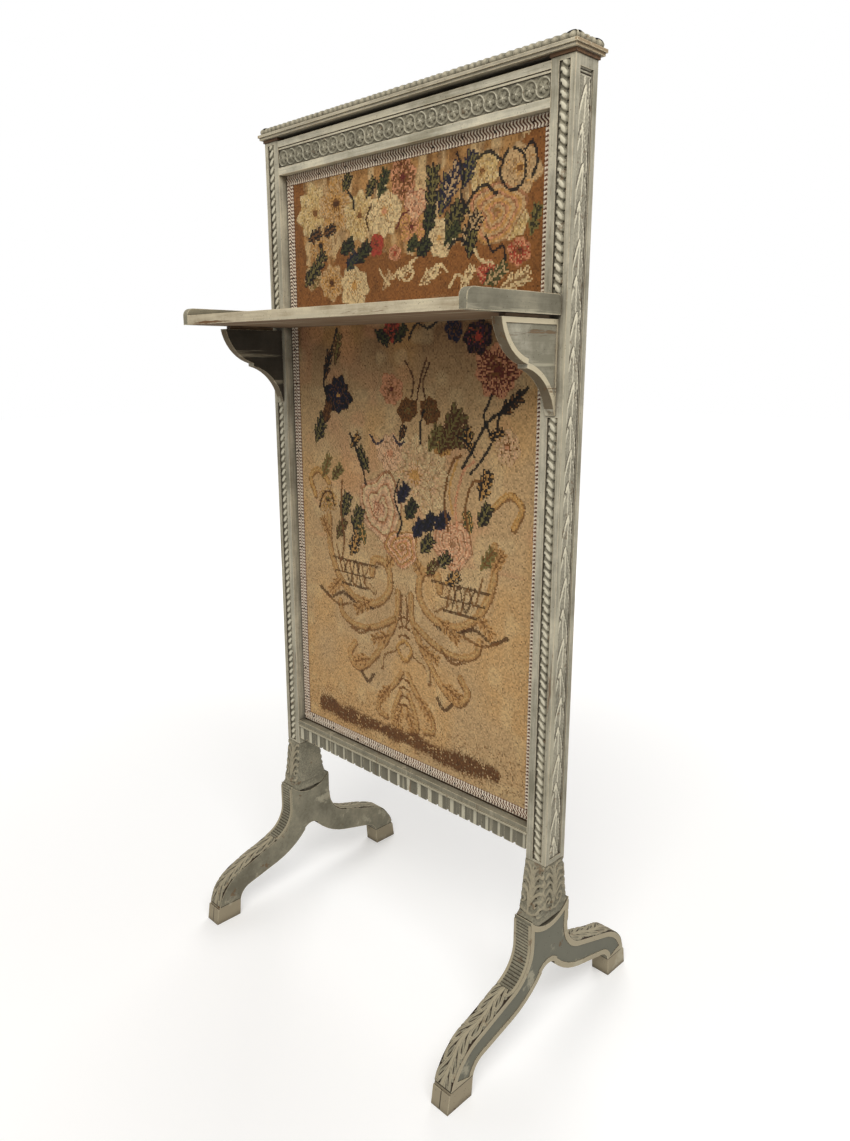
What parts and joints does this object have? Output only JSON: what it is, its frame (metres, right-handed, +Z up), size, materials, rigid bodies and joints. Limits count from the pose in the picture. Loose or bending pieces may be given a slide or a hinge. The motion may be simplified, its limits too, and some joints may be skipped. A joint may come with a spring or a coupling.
{
  "type": "fire screen",
  "caption": "Standing fire screen with carved uprights on trestle feet, a sliding needlework leaf and a small flap shelf on ogee brackets.",
  "frame": {"origin": "on the floor, midway between the two feet and midway between front and back toes", "axes": "+Z up, the front of the screen with its shelf faces -Y, +X along the width"},
  "size_m": [0.5014, 0.35, 1.0879],
  "materials": {
    "painted_wood": "grey-green distemper paint, chalky, worn to gesso and wood on the edges",
    "carved_wood": "the same grey-green paint over carving, rubbed to cream gesso on the high points, dark in the hollows",
    "edge_wood": "cream gesso and worn paint over wood",
    "bare_wood": "unpainted old beech, brown and dry",
    "needlework": "wool canvas work, matt, with worn patches down to the canvas",
    "back_cloth": "plain linen lining, matt and dusty",
    "gimp": "woven gimp in pink and cream silk, slightly faded",
    "iron": "black wrought iron, dull",
    "steel": "old spring steel, dull",
    "leather": "thin dark leather, hardened"
  },
  "bodies": {
    "frame": {"left_upright": "painted_wood", "right_upright": "painted_wood", "left_upper_strip": "carved_wood", "right_upper_strip": "carved_wood", "left_lower_strip": "carved_wood", "right_lower_strip": "carved_wood", "left_laurel_strip": "carved_wood", "right_laurel_strip": "carved_wood", "left_carved_block": "carved_wood", "right_carved_block": "carved_wood", "left_foot": "painted_wood", "right_foot": "painted_wood", "top_rail_front": "painted_wood", "guilloche_strip": "carved_wood", "top_rail_back": "bare_wood", "bottom_rail": "painted_wood", "rail_pegs": "bare_wood", "left_bracket": "painted_wood", "right_bracket": "painted_wood", "bracket_dowels": "bare_wood", "packing_strips": "leather", "shelf_eyes": "iron"},
    "shelf": {"shelf_board": "edge_wood", "left_shelf_rim": "painted_wood", "right_shelf_rim": "painted_wood", "shelf_pins": "iron"},
    "leaf": {"cap": "painted_wood", "cap_carved_band": "carved_wood", "cap_necks": "bare_wood", "cap_dowels": "bare_wood", "leaf_left_stile": "bare_wood", "leaf_right_stile": "bare_wood", "leaf_top_rail": "painted_wood", "leaf_middle_rail": "bare_wood", "leaf_bottom_rail": "bare_wood", "needlework": "needlework", "back_cloth": "back_cloth", "gimp_top": "gimp", "gimp_bottom": "gimp", "gimp_left": "gimp", "gimp_right": "gimp", "leaf_stops": "bare_wood", "friction_springs": "steel"}
  },
  "joints": [
    {"name": "leaf_slide", "type": "slide", "parent": "frame", "child": "leaf", "axis": [0, 0, 1], "range_m": [0, 0.4]},
    {"name": "shelf_fold", "type": "hinge", "parent": "frame", "child": "shelf", "pos_m": [0, -0.02405, 0.8529], "axis": [-1, 0, 0], "range_deg": [0, 90]}
  ]
}
